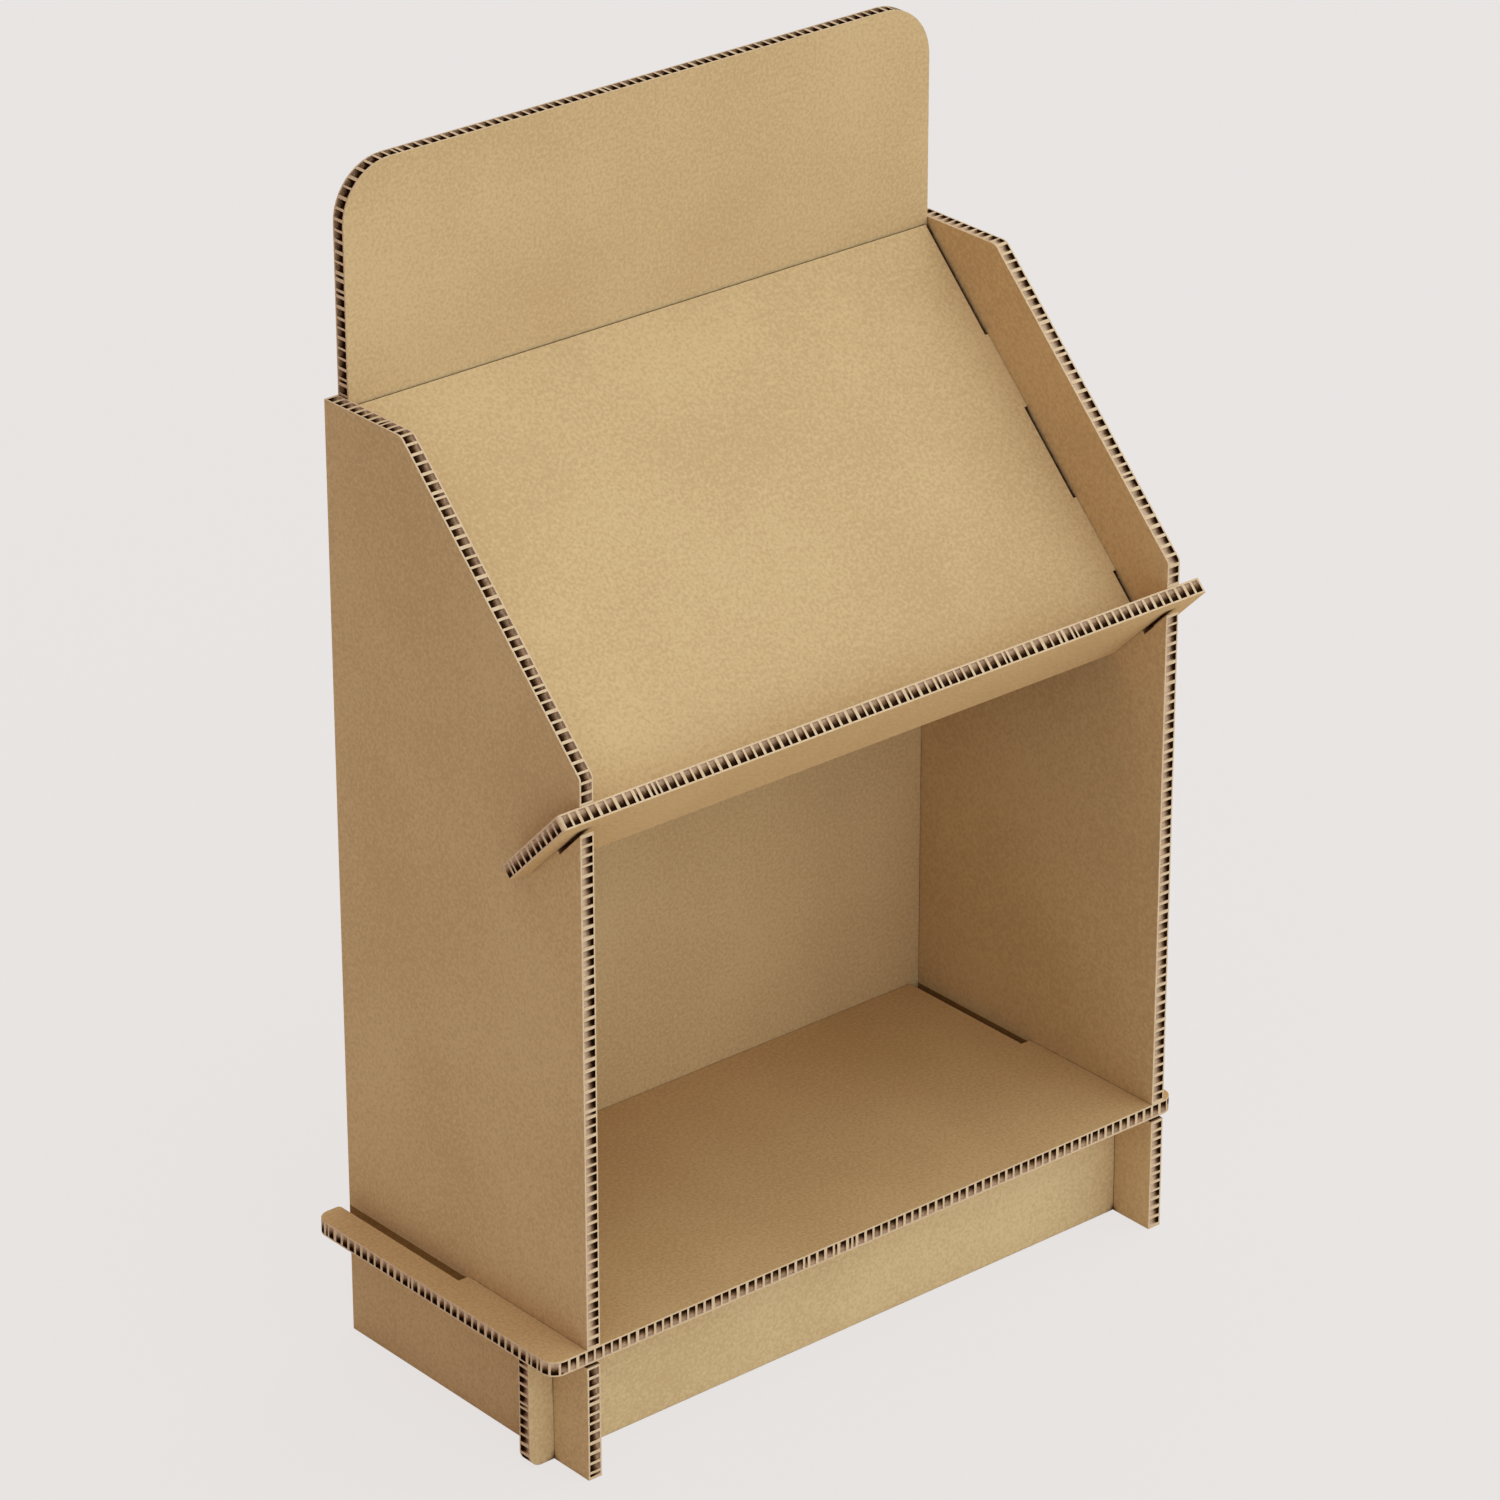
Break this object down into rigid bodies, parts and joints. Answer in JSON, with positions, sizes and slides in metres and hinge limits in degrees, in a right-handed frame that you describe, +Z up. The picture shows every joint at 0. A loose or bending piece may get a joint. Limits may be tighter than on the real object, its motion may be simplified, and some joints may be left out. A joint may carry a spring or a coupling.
{
  "type": "display stand",
  "caption": "Slot-together kraft honeycomb-board floor display stand with a sloping lipped tray, an open lower compartment and a header panel.",
  "frame": {"origin": "on the floor, midway between the two side panels and midway between their front and rear edges", "axes": "+Z up, +X to the right seen from the front, +Y to the rear, so that the front is at -Y"},
  "size_m": [0.813, 0.3773, 1.212],
  "materials": {
    "kraft_board": "matt unprinted kraft paper facing on honeycomb paper core, with bare cut edges"
  },
  "bodies": {
    "root": {"left_side_panel": "kraft_board", "right_side_panel": "kraft_board", "back_panel": "kraft_board", "tray": "kraft_board", "front_lip": "kraft_board", "lower_shelf": "kraft_board", "kick_board": "kraft_board"}
  },
  "joints": []
}
